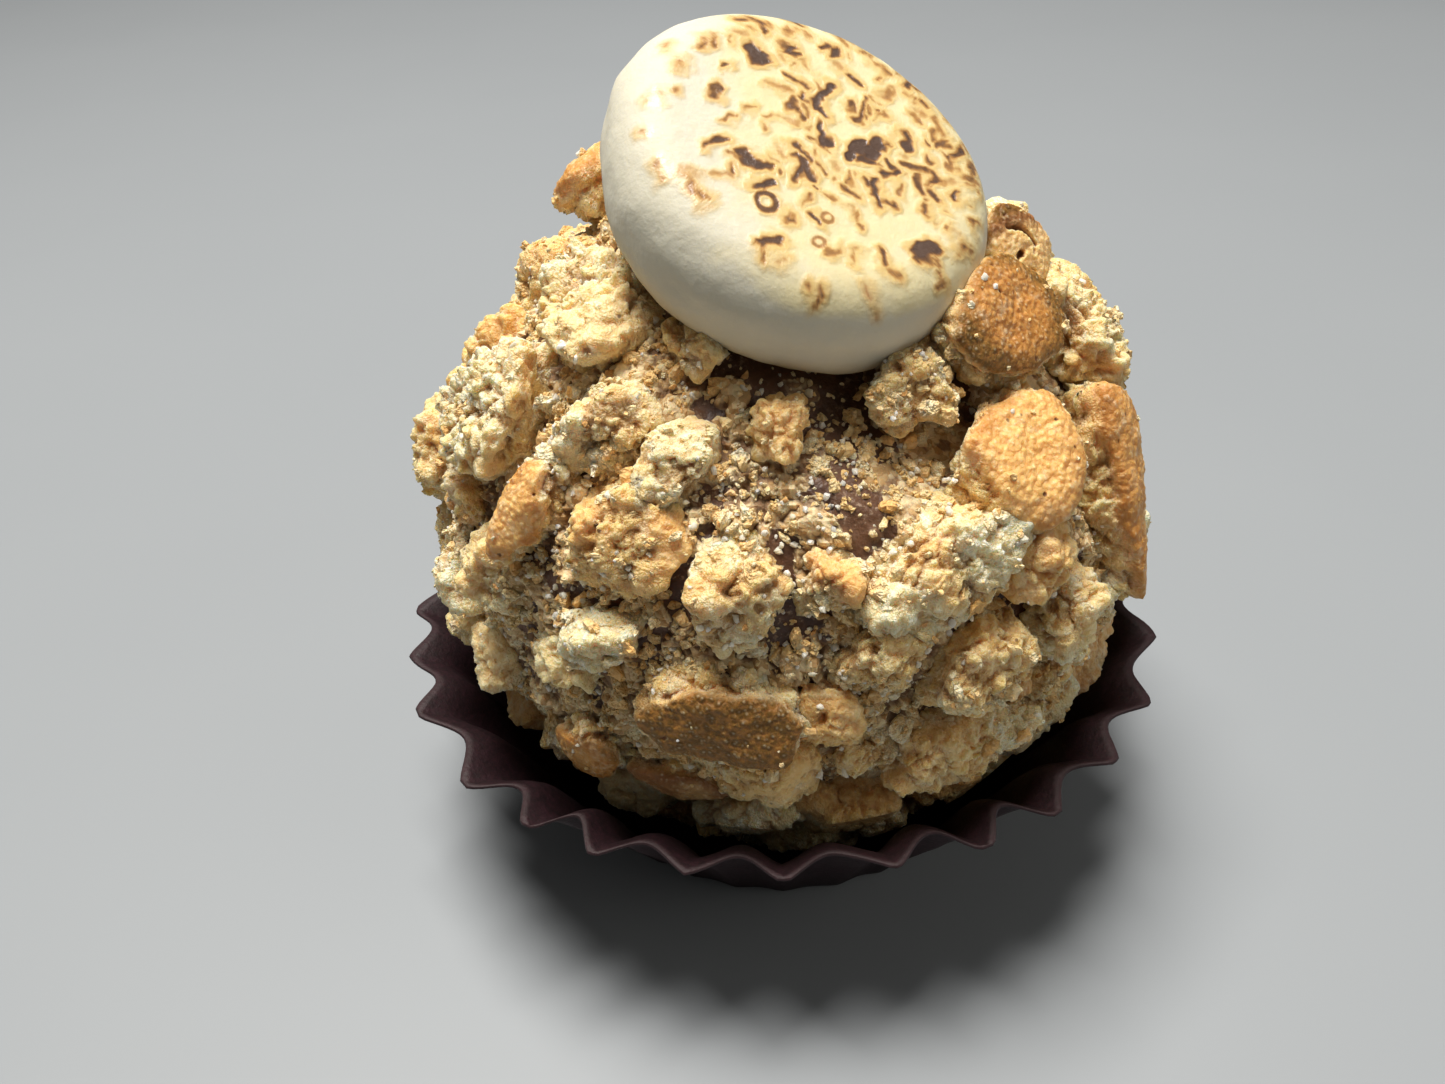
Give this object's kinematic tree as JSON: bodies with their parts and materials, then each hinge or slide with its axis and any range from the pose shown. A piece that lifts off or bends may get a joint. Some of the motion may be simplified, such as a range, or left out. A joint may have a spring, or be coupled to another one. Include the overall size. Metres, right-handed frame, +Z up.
{
  "type": "brigadeiro",
  "caption": "Chocolate brigadeiro coated in broken biscuit, with a toasted marshmallow slice on top, in a dark fluted paper case.",
  "frame": {"origin": "middle of the flat underside of the paper case", "axes": "+Z up, -Y to the side the picture shows, +X to that side's right; -Z is the way the base faces"},
  "size_m": [0.037, 0.036, 0.0377],
  "materials": {
    "paper": "matte, fibrous aubergine greaseproof paper",
    "coated_chocolate": "rough: dark chocolate under broken biscuit, fine crumb and sugar grains",
    "marshmallow": "satin, soft and translucent, with brown toast marks on the face",
    "biscuit_golden": "dry smooth golden crust with porous broken sides",
    "biscuit_pale": "dry porous pale crumb",
    "biscuit_toasted": "dry brown crust with dark speckles"
  },
  "bodies": {
    "root": {"paper_case": "paper", "chocolate_ball": "coated_chocolate", "marshmallow": "marshmallow", "biscuit_front": "biscuit_golden", "biscuit_upper_right": "biscuit_golden", "biscuit_shoulder": "biscuit_golden", "biscuit_toasted": "biscuit_toasted", "biscuit_crag": "biscuit_pale", "biscuit_low_slab": "biscuit_pale", "biscuit_low_right": "biscuit_pale", "biscuit_right_block": "biscuit_pale", "biscuit_right_tall": "biscuit_golden", "biscuit_high_right": "biscuit_pale", "biscuit_left": "biscuit_golden", "biscuit_upper_left": "biscuit_pale", "biscuit_left_high": "biscuit_pale", "biscuit_behind": "biscuit_golden", "biscuit_low_left": "biscuit_golden", "biscuit_low_front": "biscuit_toasted", "biscuit_far_left": "biscuit_pale", "biscuit_back_1": "biscuit_golden", "biscuit_back_2": "biscuit_pale", "biscuit_back_3": "biscuit_golden", "biscuit_back_4": "biscuit_pale", "biscuit_back_5": "biscuit_golden"}
  },
  "joints": []
}
